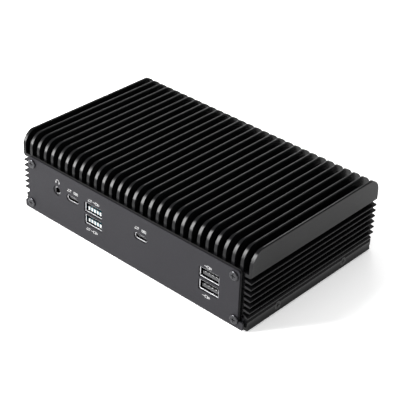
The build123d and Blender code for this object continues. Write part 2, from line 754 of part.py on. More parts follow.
def cable_plugs():
    """The two plugs of the lead between the boards, each on its header."""
    plugs = []
    for x in (37.0, 50.5):
        plugs.append(block(around(x, 5.0), around(12.0, 13.0), (BOARD_LOW_Z - 5.0, BOARD_LOW_Z)))
    return group(plugs)


def board_cable():
    """The short lead between the boards: it hangs from one plug and rises into the other."""
    top = BOARD_LOW_Z - 5.0
    low = top - 6.5
    leads = []
    for i in range(4):
        y = 12.0 - 4.5 + 3.0 * i
        path = FilletPolyline((37.0, y, top), (37.0, y, low), (50.5, y, low), (50.5, y, top), radius=4.0)
        section = Plane(origin=(37.0, y, top), z_dir=(0, 0, -1)) * Circle(0.8)
        leads.append(sweep(section, path=path))
    return group(leads)


# ---------------------------------------------------------------- front sockets

def audio_jack():
    """A 3.5 mm socket: a square body below the board with a round nose in the panel."""
    x, z = AUDIO
    body = block(around(x, 6.6), (-HALF_DEPTH + 0.3, -38.5), (z - 3.3, BOARD_LOW_Z))
    nose = rod_y(x, (-PORT_FACE_Y, -HALF_DEPTH + 1), z, AUDIO_NOSE)
    bore = rod_y(x, (-PORT_FACE_Y - 1, -PORT_FACE_Y + AUDIO_BORE_LENGTH), z, AUDIO_BORE)
    seat = rod_y(x, (-PORT_FACE_Y - 1, -PORT_FACE_Y + AUDIO_RING[1]), z, AUDIO_RING[0])
    return body + nose - bore - seat


def audio_ring():
    """The metal ring that leads a plug into the audio socket."""
    x, z = AUDIO
    y = (-PORT_FACE_Y + 0.3, -PORT_FACE_Y + AUDIO_RING[1])
    return rod_y(x, y, z, AUDIO_RING[0]) - rod_y(x, (y[0] - 1, y[1] + 1), z, AUDIO_BORE)


def flared(mouth, y_face):
    """A hollow that narrows from a wide mouth at the socket's face, ready to be cut out."""
    wide = Plane(origin=(0, y_face - 0.01, 0), x_dir=(1, 0, 0), z_dir=(0, -1, 0)) * mouth(LIP_FLARE)
    narrow = Plane(origin=(0, y_face + LIP_DEPTH, 0), x_dir=(1, 0, 0), z_dir=(0, -1, 0)) * mouth(0)
    return loft([wide, narrow])


def lip(outline):
    """The thicker rim around the mouth of a socket."""
    return prism_y(outline, (-PORT_FACE_Y, -PORT_FACE_Y + LIP_DEPTH + 0.3))


def usb_c_shells():
    shells = []
    for place in USB_C_PLACES:
        y = (-PORT_FACE_Y, -PORT_FACE_Y + USB_C_DEPTH)
        body = prism_y(Pos(*place) * SlotOverall(*USB_C_SIZE), y)
        body += lip(Pos(*place) * SlotOverall(*grown(USB_C_SIZE, LIP_FLARE - 0.1)))
        hollow = Pos(*place) * SlotOverall(*grown(USB_C_SIZE, -USB_C_WALL))
        body -= prism_y(hollow, (y[0] - 1, y[1] - 0.8))

        def mouth(extra, place=place):
            return Pos(*place) * SlotOverall(*grown(USB_C_SIZE, extra - USB_C_WALL))

        shells.append(body - flared(mouth, -PORT_FACE_Y))
    return group(shells)


def usb_c_tongues():
    tongues = []
    for x, z in USB_C_PLACES:
        y = (-PORT_FACE_Y + 0.9, -PORT_FACE_Y + USB_C_DEPTH - 0.8)
        tongues.append(block(around(x, USB_C_TONGUE[0]), y, around(z, USB_C_TONGUE[1])))
    return group(tongues)


def usb_c_risers():
    """The plastic blocks that hang each USB-C socket below the board."""
    risers = []
    for x, z in USB_C_PLACES:
        y = (-HALF_DEPTH + 1.5, -PORT_FACE_Y + USB_C_DEPTH)
        outer = block(around(x, USB_C_SIZE[0] + 1.2), y, (z - 0.4, BOARD_LOW_Z))
        risers.append(outer - prism_y(Pos(x, z) * SlotOverall(*USB_C_SIZE), (y[0] - 1, y[1] + 1)))
    return group(risers)


def usb_a_shell(x):
    """A stack of two USB-A sockets: one metal housing with a nose for each socket."""
    low = USB_A_TOP_Z - USB_A_PITCH - USB_A_SIZE[1] / 2 - 0.4
    back = -PORT_FACE_Y + USB_A_DEPTH
    body = block(around(x, 2 * USB_A_HOUSING_HALF), (-HALF_DEPTH + 0.3, back), (low, BOARD_LOW_Z))
    for place in usb_a_places(x):
        nose = plate_outline(place, USB_A_SIZE, 0.5)
        body += prism_y(nose, (-PORT_FACE_Y, -HALF_DEPTH + 1))
        body += lip(plate_outline(place, grown(USB_A_SIZE, LIP_FLARE - 0.1), 0.7))
    for place in usb_a_places(x):
        hollow = plate_outline(place, grown(USB_A_SIZE, -USB_A_WALL), 0.3)
        body -= prism_y(hollow, (-PORT_FACE_Y - 1, back - 1.5))

        def mouth(extra, place=place):
            return plate_outline(place, grown(USB_A_SIZE, extra - USB_A_WALL), 0.3 + extra / 2)

        body -= flared(mouth, -PORT_FACE_Y)
    return body


def usb_a_tongues(x):
    """The insulators that carry the contacts, low in each socket because the board is above."""
    tongues = []
    y = (-PORT_FACE_Y + 1.2, -PORT_FACE_Y + USB_A_DEPTH - 1.5)
    for px, pz in usb_a_places(x):
        tongues.append(block(around(px, USB_A_TONGUE[0]), y, (pz - USB_A_TONGUE[1], pz)))
    return group(tongues)


def usb_a_contacts(x, count, spacing, width, front):
    """Flat contacts on the upper face of each tongue, some with a broad plate before its end."""
    strips = []
    y = (-PORT_FACE_Y + 1.2, -PORT_FACE_Y + 9.0)
    for px, pz in usb_a_places(x):
        for i in range(count):
            across = around(px + (i - (count - 1) / 2) * spacing, width)
            strip = block(across, y, (pz, pz + 0.2))
            if front:
                strip += block(across, (y[0] - 0.3, y[0]), (pz - USB_A_TONGUE[1], pz + front))
            strips.append(strip)
    return group(strips)


# ---------------------------------------------------------------- rear sockets

def dc_jack():
    """The power inlet's body with its round mouth in the rear panel."""
    x, z = DC_JACK
    nose_radius = DC_BODY_HALF - 0.4
    body = block(around(x, 2 * DC_BODY_HALF), (PORT_FACE_Y - DC_DEPTH, HALF_DEPTH - 0.3),
                 (z - DC_BODY_HALF, BOARD_LOW_Z))
    body += rod_y(x, (HALF_DEPTH - 1, PORT_FACE_Y), z, nose_radius)
    return body - rod_y(x, (PORT_FACE_Y - DC_DEPTH + 3, PORT_FACE_Y + 1), z, DC_BORE)


def dc_jack_pin():
    x, z = DC_JACK
    body = rod_y(x, (PORT_FACE_Y - DC_DEPTH + 3, PORT_FACE_Y - 1.2), z, DC_PIN)
    return fillet(body.edges().group_by(Axis.Y)[-1], 0.6)


def video_shell(place, size):
    """A metal video socket that hangs below the board on two legs."""
    x, z = place
    y = (PORT_FACE_Y - VIDEO_DEPTH, PORT_FACE_Y)
    body = prism_y(plate_outline(place, size, 0.8), y)
    for side in (-1, 1):
        leg = around(x + side * (size[0] / 2 - 0.7), 1.0)
        body += block(leg, (y[0], HALF_DEPTH - 0.3), (z, BOARD_LOW_Z))
    hollow = plate_outline(place, grown(size, -VIDEO_WALL), 0.4)
    return body - prism_y(hollow, (y[0] + 0.8, y[1] + 1))


def video_tongue(place, width, thickness):
    x, z = place
    y = (PORT_FACE_Y - VIDEO_DEPTH + 0.8, PORT_FACE_Y - 1.0)
    return block(around(x, width), y, around(z, thickness))


def lan_ports():
    """Two network sockets. The latch side faces down, away from the board."""
    ports = []
    for x in LAN_PLACES:
        low = BOARD_LOW_Z - LAN_SIZE[1]
        body = block(around(x, LAN_SIZE[0]), (PORT_FACE_Y - LAN_DEPTH, PORT_FACE_Y), (low, BOARD_LOW_Z))
        y = (PORT_FACE_Y - LAN_CAVITY_DEPTH, PORT_FACE_Y + 1)
        floor = low + 1.0 + LAN_KEY[1]
        body -= block(around(x, LAN_CAVITY[0]), y, (floor, floor + LAN_CAVITY[1]))
        body -= block(around(x, LAN_KEY[0]), y, (low + 1.0, floor + 1))
        ports.append(body)
    return group(ports)


def lan_contacts():
    """Eight spring contacts at the top of each network socket."""
    wires = []
    top = BOARD_LOW_Z - LAN_SIZE[1] + 1.0 + LAN_KEY[1] + LAN_CAVITY[1]
    for x in LAN_PLACES:
        for i in range(8):
            place = around(x + (i - 3.5) * 1.02, 0.45)
            wires.append(block(place, (PORT_FACE_Y - LAN_CAVITY_DEPTH, PORT_FACE_Y - 3.0), (top - 0.6, top)))
    return group(wires)


# ---------------------------------------------------------------- power button and light

def flange_y():
    """The button's flange rests just inside the rear spacer."""
    return (HALF_DEPTH - 1.3, HALF_DEPTH - 0.05)


def stem_end_y():
    return HALF_DEPTH - HOUSING_DEPTH - 0.6


def power_button():
    """The button's cap, its flange and the stem that reaches the switch."""
    x, z = BUTTON
    cap = rod_y(x, (flange_y()[0], PANEL_FACE_Y + BUTTON_PROUD), z, BUTTON_RADIUS)
    cap = fillet(cap.edges().group_by(Axis.Y)[-1], 0.5)
    flange = rod_y(x, flange_y(), z, BUTTON_FLANGE)
    stem = rod_y(x, (stem_end_y(), flange_y()[0]), z, STEM_RADIUS)
    return cap + flange + stem


def button_housing():
    """The cup behind the rear spacer that guides the button."""
    x, z = BUTTON
    back = HALF_DEPTH - HOUSING_DEPTH
    body = rod_y(x, (back, HALF_DEPTH), z, HOUSING_OUTER)
    body -= rod_y(x, (back + HOUSING_FLOOR, HALF_DEPTH + 1), z, HOUSING_INNER)
    return body - rod_y(x, (back - 1, HALF_DEPTH), z, STEM_HOLE)


def button_spring():
    """The return spring around the stem, between the housing's floor and the flange."""
    x, z = BUTTON
    start = HALF_DEPTH - HOUSING_DEPTH + HOUSING_FLOOR + SPRING_WIRE + 0.02
    end = flange_y()[0] - SPRING_WIRE - 0.02
    path = Helix(pitch=(end - start) / SPRING_TURNS, height=end - start, radius=SPRING_RADIUS)
    section = Plane(origin=path @ 0, z_dir=path % 0) * Circle(SPRING_WIRE)
    coil = sweep(section, path=path)
    return Pos(x, start, z) * Rot(-90, 0, 0) * coil


def power_switch():
    """The switch below the small board, with a round well for its plunger."""
    x, z = BUTTON
    y = (stem_end_y() - 8.0, stem_end_y() - 0.9)
    body = block(around(x, 7.0), y, (z - 4.0, BOARD_LOW_Z))
    return body - rod_y(x, (y[1] - 2.6, y[1] + 1), z, PLUNGER_RADIUS + 0.08)


def switch_plunger():
    x, z = BUTTON
    return rod_y(x, (stem_end_y() - 2.6, stem_end_y()), z, PLUNGER_RADIUS)


def status_light_pipe():
    """A clear rod from the rear panel that turns up towards the board's light."""
    x, z = LIGHT
    front = PANEL_FACE_Y + 0.1
    back = HALF_DEPTH - LIGHT_REACH
    path = FilletPolyline((x, front, z), (x, back, z), (x, back, BOARD_LOW_Z - 0.3), radius=2 * LIGHT_RADIUS)
    section = Plane(origin=(x, front, z), z_dir=(0, -1, 0)) * Circle(LIGHT_RADIUS)
    return sweep(section, path=path)


# ---------------------------------------------------------------- all nodes

def case_nodes():
    screws = front_panel_screws()
    return {
        "case_body": case_body(),
        "front_panel": front_panel(),
        "rear_panel": rear_panel(),
        "front_spacer": front_spacer(),
        "rear_spacer": rear_spacer(),
        "bottom_cover": bottom_cover(),
        "mounting_nuts": mounting_nuts(),
        "rubber_feet": rubber_feet(),
        "front_panel_screws": screws,
        "rear_panel_screws": turned(screws),
        "bottom_cover_screws": bottom_cover_screws(),
    }


def board_nodes():
    latch = memory_latch()
    return {
        "mainboard": mainboard(),
        "io_board": io_board(),
        "board_standoffs": board_standoffs(),
        "board_screws": board_screws(),
        "processor_substrate": processor_substrate(),
        "processor_die": processor_die(),
        "thermal_pad": thermal_pad(),
        "heat_block": heat_block(),
        "heat_block_screws": heat_block_screws(),
        "inductors": inductors(),
        "capacitors": capacitors(),
        "logic_chips": logic_chips(),
        "ssd_socket": ssd_socket(),
        "ssd_module": ssd_module(),
        "ssd_standoff": ssd_standoff(),
        "ssd_screw": ssd_screw(),
        "battery_holder": battery_holder(),
        "rtc_battery": rtc_battery(),
        "cable_plugs": cable_plugs(),
        "board_cable": board_cable(),
        "memory_socket": memory_socket(),
        "memory_module": memory_module(),
        "memory_latch_right": latch,
        "memory_latch_left": about_module(latch),
    }


def socket_nodes():
    return {
        "audio_jack": audio_jack(),
        "audio_ring": audio_ring(),
        "usb_c_shells": usb_c_shells(),
        "usb_c_tongues": usb_c_tongues(),
        "usb_c_risers": usb_c_risers(),
        "usb_a_shells": group([usb_a_shell(USB3_X), usb_a_shell(USB2_X)]),
        "usb3_tongues": usb_a_tongues(USB3_X),
        "usb2_tongues": usb_a_tongues(USB2_X),
        "usb3_contacts": usb_a_contacts(USB3_X, 5, 2.2, 1.3, 0.4),
        "usb2_contacts": usb_a_contacts(USB2_X, 4, 2.5, 1.0, 0),
        "dc_jack": dc_jack(),
        "dc_jack_pin": dc_jack_pin(),
        "video_shells": group([video_shell(HDMI, HDMI_SIZE), video_shell(DISPLAY, DISPLAY_SIZE)]),
        "video_tongues": group([video_tongue(HDMI, 11.0, 1.2), video_tongue(DISPLAY, 12.5, 1.4)]),
        "lan_ports": lan_ports(),
        "lan_contacts": lan_contacts(),
        "power_button": power_button(),
        "button_housing": button_housing(),
        "button_spring": button_spring(),
        "power_switch": power_switch(),
        "switch_plunger": switch_plunger(),
        "status_light_pipe": status_light_pipe(),
    }


os.makedirs("parts", exist_ok=True)
for nodes in (case_nodes(), board_nodes(), socket_nodes()):
    for node, shape in nodes.items():
        save(node, shape)
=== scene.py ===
import json
import math
import random

import bmesh
import bpy
from mathutils import Matrix, Vector

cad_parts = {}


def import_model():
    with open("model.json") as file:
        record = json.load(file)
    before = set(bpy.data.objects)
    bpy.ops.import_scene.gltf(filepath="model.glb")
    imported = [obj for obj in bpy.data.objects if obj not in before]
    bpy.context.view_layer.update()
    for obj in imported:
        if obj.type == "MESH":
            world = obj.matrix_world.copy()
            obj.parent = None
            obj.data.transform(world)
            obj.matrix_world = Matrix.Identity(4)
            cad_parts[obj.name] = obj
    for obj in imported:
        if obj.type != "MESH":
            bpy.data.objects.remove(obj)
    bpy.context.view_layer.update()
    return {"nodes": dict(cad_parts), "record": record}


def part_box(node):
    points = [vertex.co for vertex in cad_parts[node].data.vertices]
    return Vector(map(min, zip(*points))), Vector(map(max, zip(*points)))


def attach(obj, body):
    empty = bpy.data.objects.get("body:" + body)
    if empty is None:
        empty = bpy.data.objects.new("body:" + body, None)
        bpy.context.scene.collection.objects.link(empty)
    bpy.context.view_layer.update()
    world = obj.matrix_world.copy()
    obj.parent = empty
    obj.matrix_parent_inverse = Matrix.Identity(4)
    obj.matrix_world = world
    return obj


# The look of a fanless mini pc: materials, printed signs, board detail, lights, floor and camera.
# Metres, in the frame of the CAD model: the front panel faces -Y and +Z is up.

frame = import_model()

MM = 0.001

# surfaces
NOISE_LOW = 0.3               # the values of a noise texture between these two
NOISE_HIGH = 0.7              # are spread over the range asked for
PATCH_SCALE = 60.0            # of the lighter and darker patches of a coated surface
PAINTED_SHADE_START = 0.4 * MM       # painted shade in a socket: depth down to which its metal is painted as lit
PAINTED_SHADE_FULL = 0.9 * MM         # depth from which its metal is painted fully shaded
# lit and shaded copies of the socket nickel; the darker one is painted shade for a socket's depth
PAINTED_SHADE_NICKEL = (0.035, 0.035, 0.04)
LIT_NICKEL = (0.42, 0.42, 0.43)
TRACK_SCALE = 700.0           # of the pattern of tracks on a circuit board
TRACK_GAP = 0.12              # its line width, length and spacing, in the pattern's own unit
TRACK_LENGTH = 3.2
TRACK_PITCH = 0.8
TRACK_DEPTH = 0.02 * MM
BEVEL_WIDTH = 0.12 * MM       # on the edges of the two panels
BEVEL_SEGMENTS = 2
BEVEL_ANGLE = 40.0

# printed signs; their places on the front panel and their strokes are in millimetres
LINE = 0.26
PRINT_LIFT = 0.03 * MM        # how far a printed sign stands off its panel
SIGN_RISE = 3.6 * MM          # from the top of a rear socket to the middle of its sign
AUDIO_SIGN = (-55.0, 30.0)
USB_C_SIGNS = ((-42.4, 28.4), (10.6, 28.6))
LEFT_USB_A_SIGNS = ((-26.2, 29.2), (-27.8, 10.0))
RIGHT_USB_A_SIGNS = ((59.0, 28.8), (58.5, 10.2))

# small pieces inside
SAME_POINT = 0.001 * MM       # points this close are one
CELL = 2.2 * MM               # grid on which the boards' small components are placed
PART_SIZE = (1.6 * MM, 0.8 * MM, 0.6 * MM)
PART_SHARE = 0.45             # of the free cells carry a component
LENGTHWISE_SHARE = 0.6        # of the components lie along X
BOARD_GAP = 0.02 * MM         # between a component and its board
UPPER_SEED = 10
LOWER_SEED = 20
CHIP_HEIGHT = 0.95 * MM       # of the memory and storage chips
CAP_GAP = 0.03 * MM           # by which a dark cap stands out from its chip
CAP_DIGITS = 6                # to which its corners are rounded
CONTACT_SHARE = 0.25          # half the width of a tongue's contact, as a share of the pitch
USB_C_CONTACTS = 12
USB_C_INSET = 1.5 * MM        # from the ends of a tongue to its contacts
USB_C_LIFT = 0.03 * MM        # how far the contacts stand off the tongue
VIDEO_CONTACTS = 10
VIDEO_INSET = 0.6 * MM
VIDEO_LIFT = 0.04 * MM
LAMP_INSET = 2.2 * MM         # from the side of a network socket to the middle of its lamp
LAMP_HALF_WIDTH = 1.3 * MM
LAMP_DEPTH = 0.5 * MM
LAMP_LIFT = 0.03 * MM
LAMP_BOTTOM = 1.0 * MM
LAMP_TOP = 2.6 * MM

# studio
FLOOR_SIZE = 8.0
FLOOR_GREY = 0.93
FLOOR_GLOW = 0.3
WORLD_STRENGTH = 0.85
LIGHT_TARGET = (0.0, 0.0, 0.025)
FRONT_LIGHT = (-0.56, -0.70, 0.43)      # direction in which the light stands
FRONT_DISTANCE = 2.2
FRONT_SIZE = (0.62, 2.06)
FRONT_WATTS = 165.0
BACK_LIGHT = (-0.562, 0.633, 0.53)
BACK_DISTANCE = 1.5
BACK_SIZE = (0.5, 0.3)
BACK_WATTS = 4.5
CAMERA_TARGET = (0.0, 0.0, 0.027)
CAMERA_AZIMUTH = 41.59
CAMERA_ELEVATION = 32.235
CAMERA_ROLL = 2.104
CAMERA_DISTANCE = 0.69009
CAMERA_OFFSET = (0.00207, -0.00726)
CAMERA_LENS = 110.52
SENSOR = 36.0
CLIP_START = 0.01

# ---------------------------------------------------------------- node helpers


def new_material(name):
    """An empty node material and its Principled shader."""
    material = bpy.data.materials.new(name)
    material.use_nodes = True
    shader = material.node_tree.nodes["Principled BSDF"]
    return material, shader


def add_node(material, kind, **settings):
    node = material.node_tree.nodes.new(kind)
    for key, value in settings.items():
        setattr(node, key, value)
    return node


def link(material, source, target):
    material.node_tree.links.new(source, target)


def object_coordinates(material, scale):
    """Object coordinates, stretched by a scale for each axis."""
    coordinates = add_node(material, "ShaderNodeTexCoord")
    mapping = add_node(material, "ShaderNodeMapping")
    mapping.inputs["Scale"].default_value = scale
    link(material, coordinates.outputs["Object"], mapping.inputs["Vector"])
    return mapping.outputs["Vector"]


def noise(material, scale, detail=3.0):
    texture = add_node(material, "ShaderNodeTexNoise")
    texture.inputs["Scale"].default_value = 1.0
    texture.inputs["Detail"].default_value = detail
    link(material, object_coordinates(material, scale), texture.inputs["Vector"])
    return texture.outputs["Fac"]


def remap(material, value, low, high):
    """Spreads the middle of a noise's values over low..high."""
    node = add_node(material, "ShaderNodeMapRange")
    node.inputs["From Min"].default_value = NOISE_LOW
    node.inputs["From Max"].default_value = NOISE_HIGH
    node.inputs["To Min"].default_value = low
    node.inputs["To Max"].default_value = high
    link(material, value, node.inputs["Value"])
    return node.outputs["Result"]


def bump(material, shader, height, distance):
    node = add_node(material, "ShaderNodeBump")
    node.inputs["Strength"].default_value = 1.0
    node.inputs["Distance"].default_value = distance
    link(material, height, node.inputs["Height"])
    link(material, node.outputs["Normal"], shader.inputs["Normal"])
    return node


def mix_colors(material, shader, factor, first, second):
    node = add_node(material, "ShaderNodeMix", data_type="RGBA")
    node.inputs["A"].default_value = (*first, 1.0)
    node.inputs["B"].default_value = (*second, 1.0)
    link(material, factor, node.inputs["Factor"])
    link(material, node.outputs["Result"], shader.inputs["Base Color"])


def coated(name, color, roughness, grain, depth, variation=0.12):
    """A painted, moulded or anodised surface with a fine grain and slightly uneven gloss."""
    material, shader = new_material(name)
    shader.inputs["Base Color"].default_value = (*color, 1.0)
    shader.inputs["Roughness"].default_value = roughness
    patches = noise(material, (PATCH_SCALE, PATCH_SCALE, PATCH_SCALE))
    darker = tuple(part * (1.0 - variation) for part in color)
    lighter = tuple(part * (1.0 + variation) for part in color)
    mix_colors(material, shader, patches, darker, lighter)
    fine = noise(material, (grain, grain, grain), detail=2.0)
    link(material, remap(material, fine, roughness * 0.9, roughness * 1.1), shader.inputs["Roughness"])
    bump(material, shader, fine, depth)
    return material


def metal(name, color, roughness, grain=(1500.0, 1500.0, 1500.0), depth=0.004 * MM):
    material, shader = new_material(name)
    shader.inputs["Base Color"].default_value = (*color, 1.0)
    shader.inputs["Metallic"].default_value = 1.0
    shader.inputs["Roughness"].default_value = roughness
    fine = noise(material, grain, detail=2.0)
    link(material, remap(material, fine, roughness * 0.8, roughness * 1.2), shader.inputs["Roughness"])
    bump(material, shader, fine, depth)
    return material


# ---------------------------------------------------------------- materials of the case


def anodised_aluminium():
    """Satin black anodising over extruded aluminium: faint draw lines run front to back."""
    material = coated("anodised_black", (0.0028, 0.0028, 0.0031), 0.22, 2600.0, 0.004 * MM)
    shader = material.node_tree.nodes["Principled BSDF"]
    shader.inputs["Specular IOR Level"].default_value = 0.12
    lines = noise(material, (2200.0, 14.0, 2200.0), detail=2.0)
    node = bump(material, shader, lines, 0.006 * MM)
    grain = [n for n in material.node_tree.nodes if n.type == "BUMP" and n != node][0]
    link(material, grain.outputs["Normal"], node.inputs["Normal"])
    return material


def powder_coat():
    """Fine matte black powder coat, with little gloss."""
    material = coated("panel_black", (0.0084, 0.0081, 0.0100), 0.58, 2400.0, 0.010 * MM)
    material.node_tree.nodes["Principled BSDF"].inputs["Specular IOR Level"].default_value = 0.14
    return material


def socket_metal_painted_shade():
    """Nickel with painted shade: painted bright at a socket's mouth and darker deeper inside, where shade
    falls.
    """
    material = metal("socket_steel", (0.66, 0.66, 0.67), 0.24, grain=(300.0, 3000.0, 3000.0))
    shader = material.node_tree.nodes["Principled BSDF"]
    coordinates = add_node(material, "ShaderNodeTexCoord")
    parts = add_node(material, "ShaderNodeSeparateXYZ")
    distance = add_node(material, "ShaderNodeMath", operation="ABSOLUTE")
    painted_shade = add_node(material, "ShaderNodeMapRange")
    mouth = abs(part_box("usb_a_shells")[0][1])
    painted_shade.inputs["From Min"].default_value = mouth - PAINTED_SHADE_FULL
    painted_shade.inputs["From Max"].default_value = mouth - PAINTED_SHADE_START
    link(material, coordinates.outputs["Object"], parts.inputs["Vector"])
    link(material, parts.outputs["Y"], distance.inputs["Value"])
    link(material, distance.outputs["Value"], painted_shade.inputs["Value"])
    # painted shade: the metal's colour darkens with depth into the socket
    mix_colors(material, shader, painted_shade.outputs["Result"], PAINTED_SHADE_NICKEL, LIT_NICKEL)
    return material


def circuit_board(name, dark, light):
    """Solder mask with copper tracks showing through as a slightly lighter pattern."""
    material, shader = new_material(name)
    shader.inputs["Roughness"].default_value = 0.35
    tracks = add_node(material, "ShaderNodeTexBrick")
    tracks.inputs["Scale"].default_value = 1.0
    tracks.inputs["Mortar Size"].default_value = TRACK_GAP
    tracks.inputs["Brick Width"].default_value = TRACK_LENGTH
    tracks.inputs["Row Height"].default_value = TRACK_PITCH
    place = object_coordinates(material, (TRACK_SCALE, TRACK_SCALE, TRACK_SCALE))
    link(material, place, tracks.inputs["Vector"])
    mix_colors(material, shader, tracks.outputs["Fac"], dark, light)
    bump(material, shader, tracks.outputs["Fac"], TRACK_DEPTH)
    return material


def chip_surface(name):
    """Dull moulded epoxy with a faint grain."""
    return coated(name, (0.012, 0.012, 0.013), 0.55, 3000.0, 0.006 * MM)


def clear_plastic():
    material, shader = new_material("clear_plastic")
    shader.inputs["Base Color"].default_value = (0.85, 0.92, 0.88, 1.0)
    shader.inputs["Roughness"].default_value = 0.12
    shader.inputs["Transmission Weight"].default_value = 0.9
    shader.inputs["IOR"].default_value = 1.49
    bump(material, shader, noise(material, (900.0, 900.0, 900.0)), 0.004 * MM)
    return material


def case_materials():
    return {
        "anodised_black": anodised_aluminium(),
        "panel_black": powder_coat(),
        "spacer_black": coated("spacer_black", (0.002, 0.002, 0.002), 0.8, 900.0, 0.005 * MM),
        "rubber": coated("rubber", (0.012, 0.012, 0.012), 0.75, 1200.0, 0.02 * MM),
        "screw_steel": metal("screw_steel", (0.55, 0.55, 0.56), 0.28),
        "screw_black": metal("screw_black", (0.045, 0.045, 0.048), 0.25),
        "screw_dull": coated("screw_dull", (0.004, 0.004, 0.004), 0.5, 1800.0, 0.006 * MM),
        "plated_steel": metal("plated_steel", (0.62, 0.62, 0.62), 0.30),
        # the socket metal carries painted shade in its depth
        "socket_steel": socket_metal_painted_shade(),
    }


def inner_materials():
    return {
        "board_green": circuit_board("board_green", (0.004, 0.055, 0.020), (0.012, 0.095, 0.040)),
        "module_green": circuit_board("module_green", (0.006, 0.070, 0.028), (0.016, 0.120, 0.050)),
        "substrate_green": circuit_board("substrate_green", (0.010, 0.090, 0.040), (0.020, 0.130, 0.060)),
        "chip_black": chip_surface("chip_black"),
        "pad_grey": coated("pad_grey", (0.22, 0.23, 0.25), 0.7, 800.0, 0.03 * MM),
        "ferrite_grey": coated("ferrite_grey", (0.055, 0.055, 0.055), 0.6, 2000.0, 0.02 * MM),
        "can_aluminium": metal("can_aluminium", (0.70, 0.70, 0.72), 0.25),
        "copper": metal("copper", (0.72, 0.30, 0.16), 0.30, grain=(2000.0, 60.0, 2000.0)),
        "brass": metal("brass", (0.70, 0.50, 0.22), 0.28),
        "contact_gold": metal("contact_gold", (0.85, 0.72, 0.45), 0.25),
        "contact_tin": metal("contact_tin", (0.50, 0.50, 0.49), 0.35),
        "plastic_black": coated("plastic_black", (0.010, 0.010, 0.011), 0.45, 1800.0, 0.008 * MM),
        "plastic_grey": coated("plastic_grey", (0.016, 0.016, 0.017), 0.55, 1800.0, 0.008 * MM),
        "plastic_teal": coated("plastic_teal", (0.010, 0.095, 0.130), 0.45, 1800.0, 0.008 * MM),
        "plastic_white": coated("plastic_white", (0.75, 0.75, 0.72), 0.5, 1500.0, 0.01 * MM),
        "cable_grey": coated("cable_grey", (0.06, 0.06, 0.065), 0.5, 900.0, 0.02 * MM),
        "clear_plastic": clear_plastic(),
        "ceramic_tan": coated("ceramic_tan", (0.30, 0.20, 0.11), 0.5, 1500.0, 0.01 * MM),
        "lamp_green": coated("lamp_green", (0.10, 0.45, 0.12), 0.3, 1500.0, 0.004 * MM),
        "lamp_amber": coated("lamp_amber", (0.55, 0.28, 0.03), 0.3, 1500.0, 0.004 * MM),
    }


def paint_nodes(materials):
    """Gives every CAD node the material of its slot in the record."""
    for entry in frame["record"]["subparts"]:
        node = frame["nodes"][entry["node"]]
        for material_slot in node.material_slots:
            material_slot.material = materials[entry["material_slot"]]


def soften_edges(names):
    """A small bevel on a node's sharp edges, so that they catch the light."""
    for name in names:
        bevel = frame["nodes"][name].modifiers.new("soft_edges", "BEVEL")
        bevel.width = BEVEL_WIDTH
        bevel.segments = BEVEL_SEGMENTS
        bevel.limit_method = "ANGLE"
        bevel.angle_limit = math.radians(BEVEL_ANGLE)
        bevel.harden_normals = False


# ---------------------------------------------------------------- printed signs


class Sign:
    """Flat strokes in the plane of a panel, gathered into one mesh."""

    def __init__(self, face_y, turned):
        self.mesh = bmesh.new()
        self.y = face_y
        self.sign = -1.0 if turned else 1.0
        self.middle = (0.0, 0.0)

    def at(self, x, z):
        """Moves to a sign's middle, in metres."""
        self.middle = (x, z)

    def add(self, corners):
        """One filled polygon, its corners in millimetres from the sign's middle."""
        points = []
        for x, z in corners:
            place = (self.middle[0] + self.sign * x * MM, self.y, self.middle[1] + z * MM)
            points.append(self.mesh.verts.new(place))
        self.mesh.faces.new(points)

    def box(self, x0, z0, x1, z1):
        self.add([(x0, z0), (x1, z0), (x1, z1), (x0, z1)])

    def frame(self, x0, z0, x1, z1, line):
        self.box(x0, z0, x1, z0 + line)
        self.box(x0, z1 - line, x1, z1)
        self.box(x0, z0 + line, x0 + line, z1 - line)
        self.box(x1 - line, z0 + line, x1, z1 - line)

    def arc(self, x, z, radius, line, start, end, steps=14):
        for i in range(steps):
            a = math.radians(start + (end - start) * i / steps)
            b = math.radians(start + (end - start) * (i + 1) / steps)
            inner = radius - line / 2
            outer = radius + line / 2
            self.add([(x + inner * math.cos(a), z + inner * math.sin(a)),
                      (x + outer * math.cos(a), z + outer * math.sin(a)),
                      (x + outer * math.cos(b), z + outer * math.sin(b)),
                      (x + inner * math.cos(b), z + inner * math.sin(b))])

    def finish(self, name, material):
        mesh = bpy.data.meshes.new(name)
        self.mesh.to_mesh(mesh)
        self.mesh.free()
        mesh.materials.append(material)
        piece = bpy.data.objects.new(name, mesh)
        bpy.context.collection.objects.link(piece)
        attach(piece, "case")


def draw_headphones(sign):
    sign.arc(0, -0.2, 1.3, LINE, 0, 180)
    sign.box(-1.6, -1.3, -1.0, -0.2)
    sign.box(1.0, -1.3, 1.6, -0.2)


def draw_arrows(sign, x):
    """Two opposed arrows: data goes both ways."""
    for z, way in ((0.55, 1), (-0.55, -1)):
        sign.box(x - 1.1, z - LINE / 2, x + 1.1, z + LINE / 2)
        tip = x + way * 1.8
        back = x + way * 0.9
        corners = [(back, z - 0.5), (tip, z), (back, z + 0.5)]
        sign.add(corners if way > 0 else corners[::-1])


def draw_slot(sign, x):
    """A small flat socket with its tongue."""
    sign.frame(x - 1.6, -0.8, x + 1.6, 0.8, LINE)
    sign.box(x - 0.8, -0.2, x + 0.8, 0.2)


def draw_plug(sign, x):
    """A rectangular plug with its lead."""
    sign.box(x - 2.8, -LINE / 2, x - 1.0, LINE / 2)
    sign.frame(x - 1.0, -0.8, x + 1.0, 0.8, LINE)
    sign.frame(x + 1.0, -0.55, x + 2.3, 0.55, LINE)


def draw_power(sign):
    """A broken ring with an upright line."""
    sign.arc(0, 0, 1.3, LINE, 120, 420, steps=24)
    sign.box(-LINE / 2, 0.2, LINE / 2, 1.7)


def draw_screen(sign):
    sign.frame(-2.0, -0.9, 2.0, 1.3, LINE)
    sign.box(-0.9, -1.6, 0.9, -1.6 + LINE)
    sign.box(-LINE / 2, -1.6 + LINE, LINE / 2, -0.9)


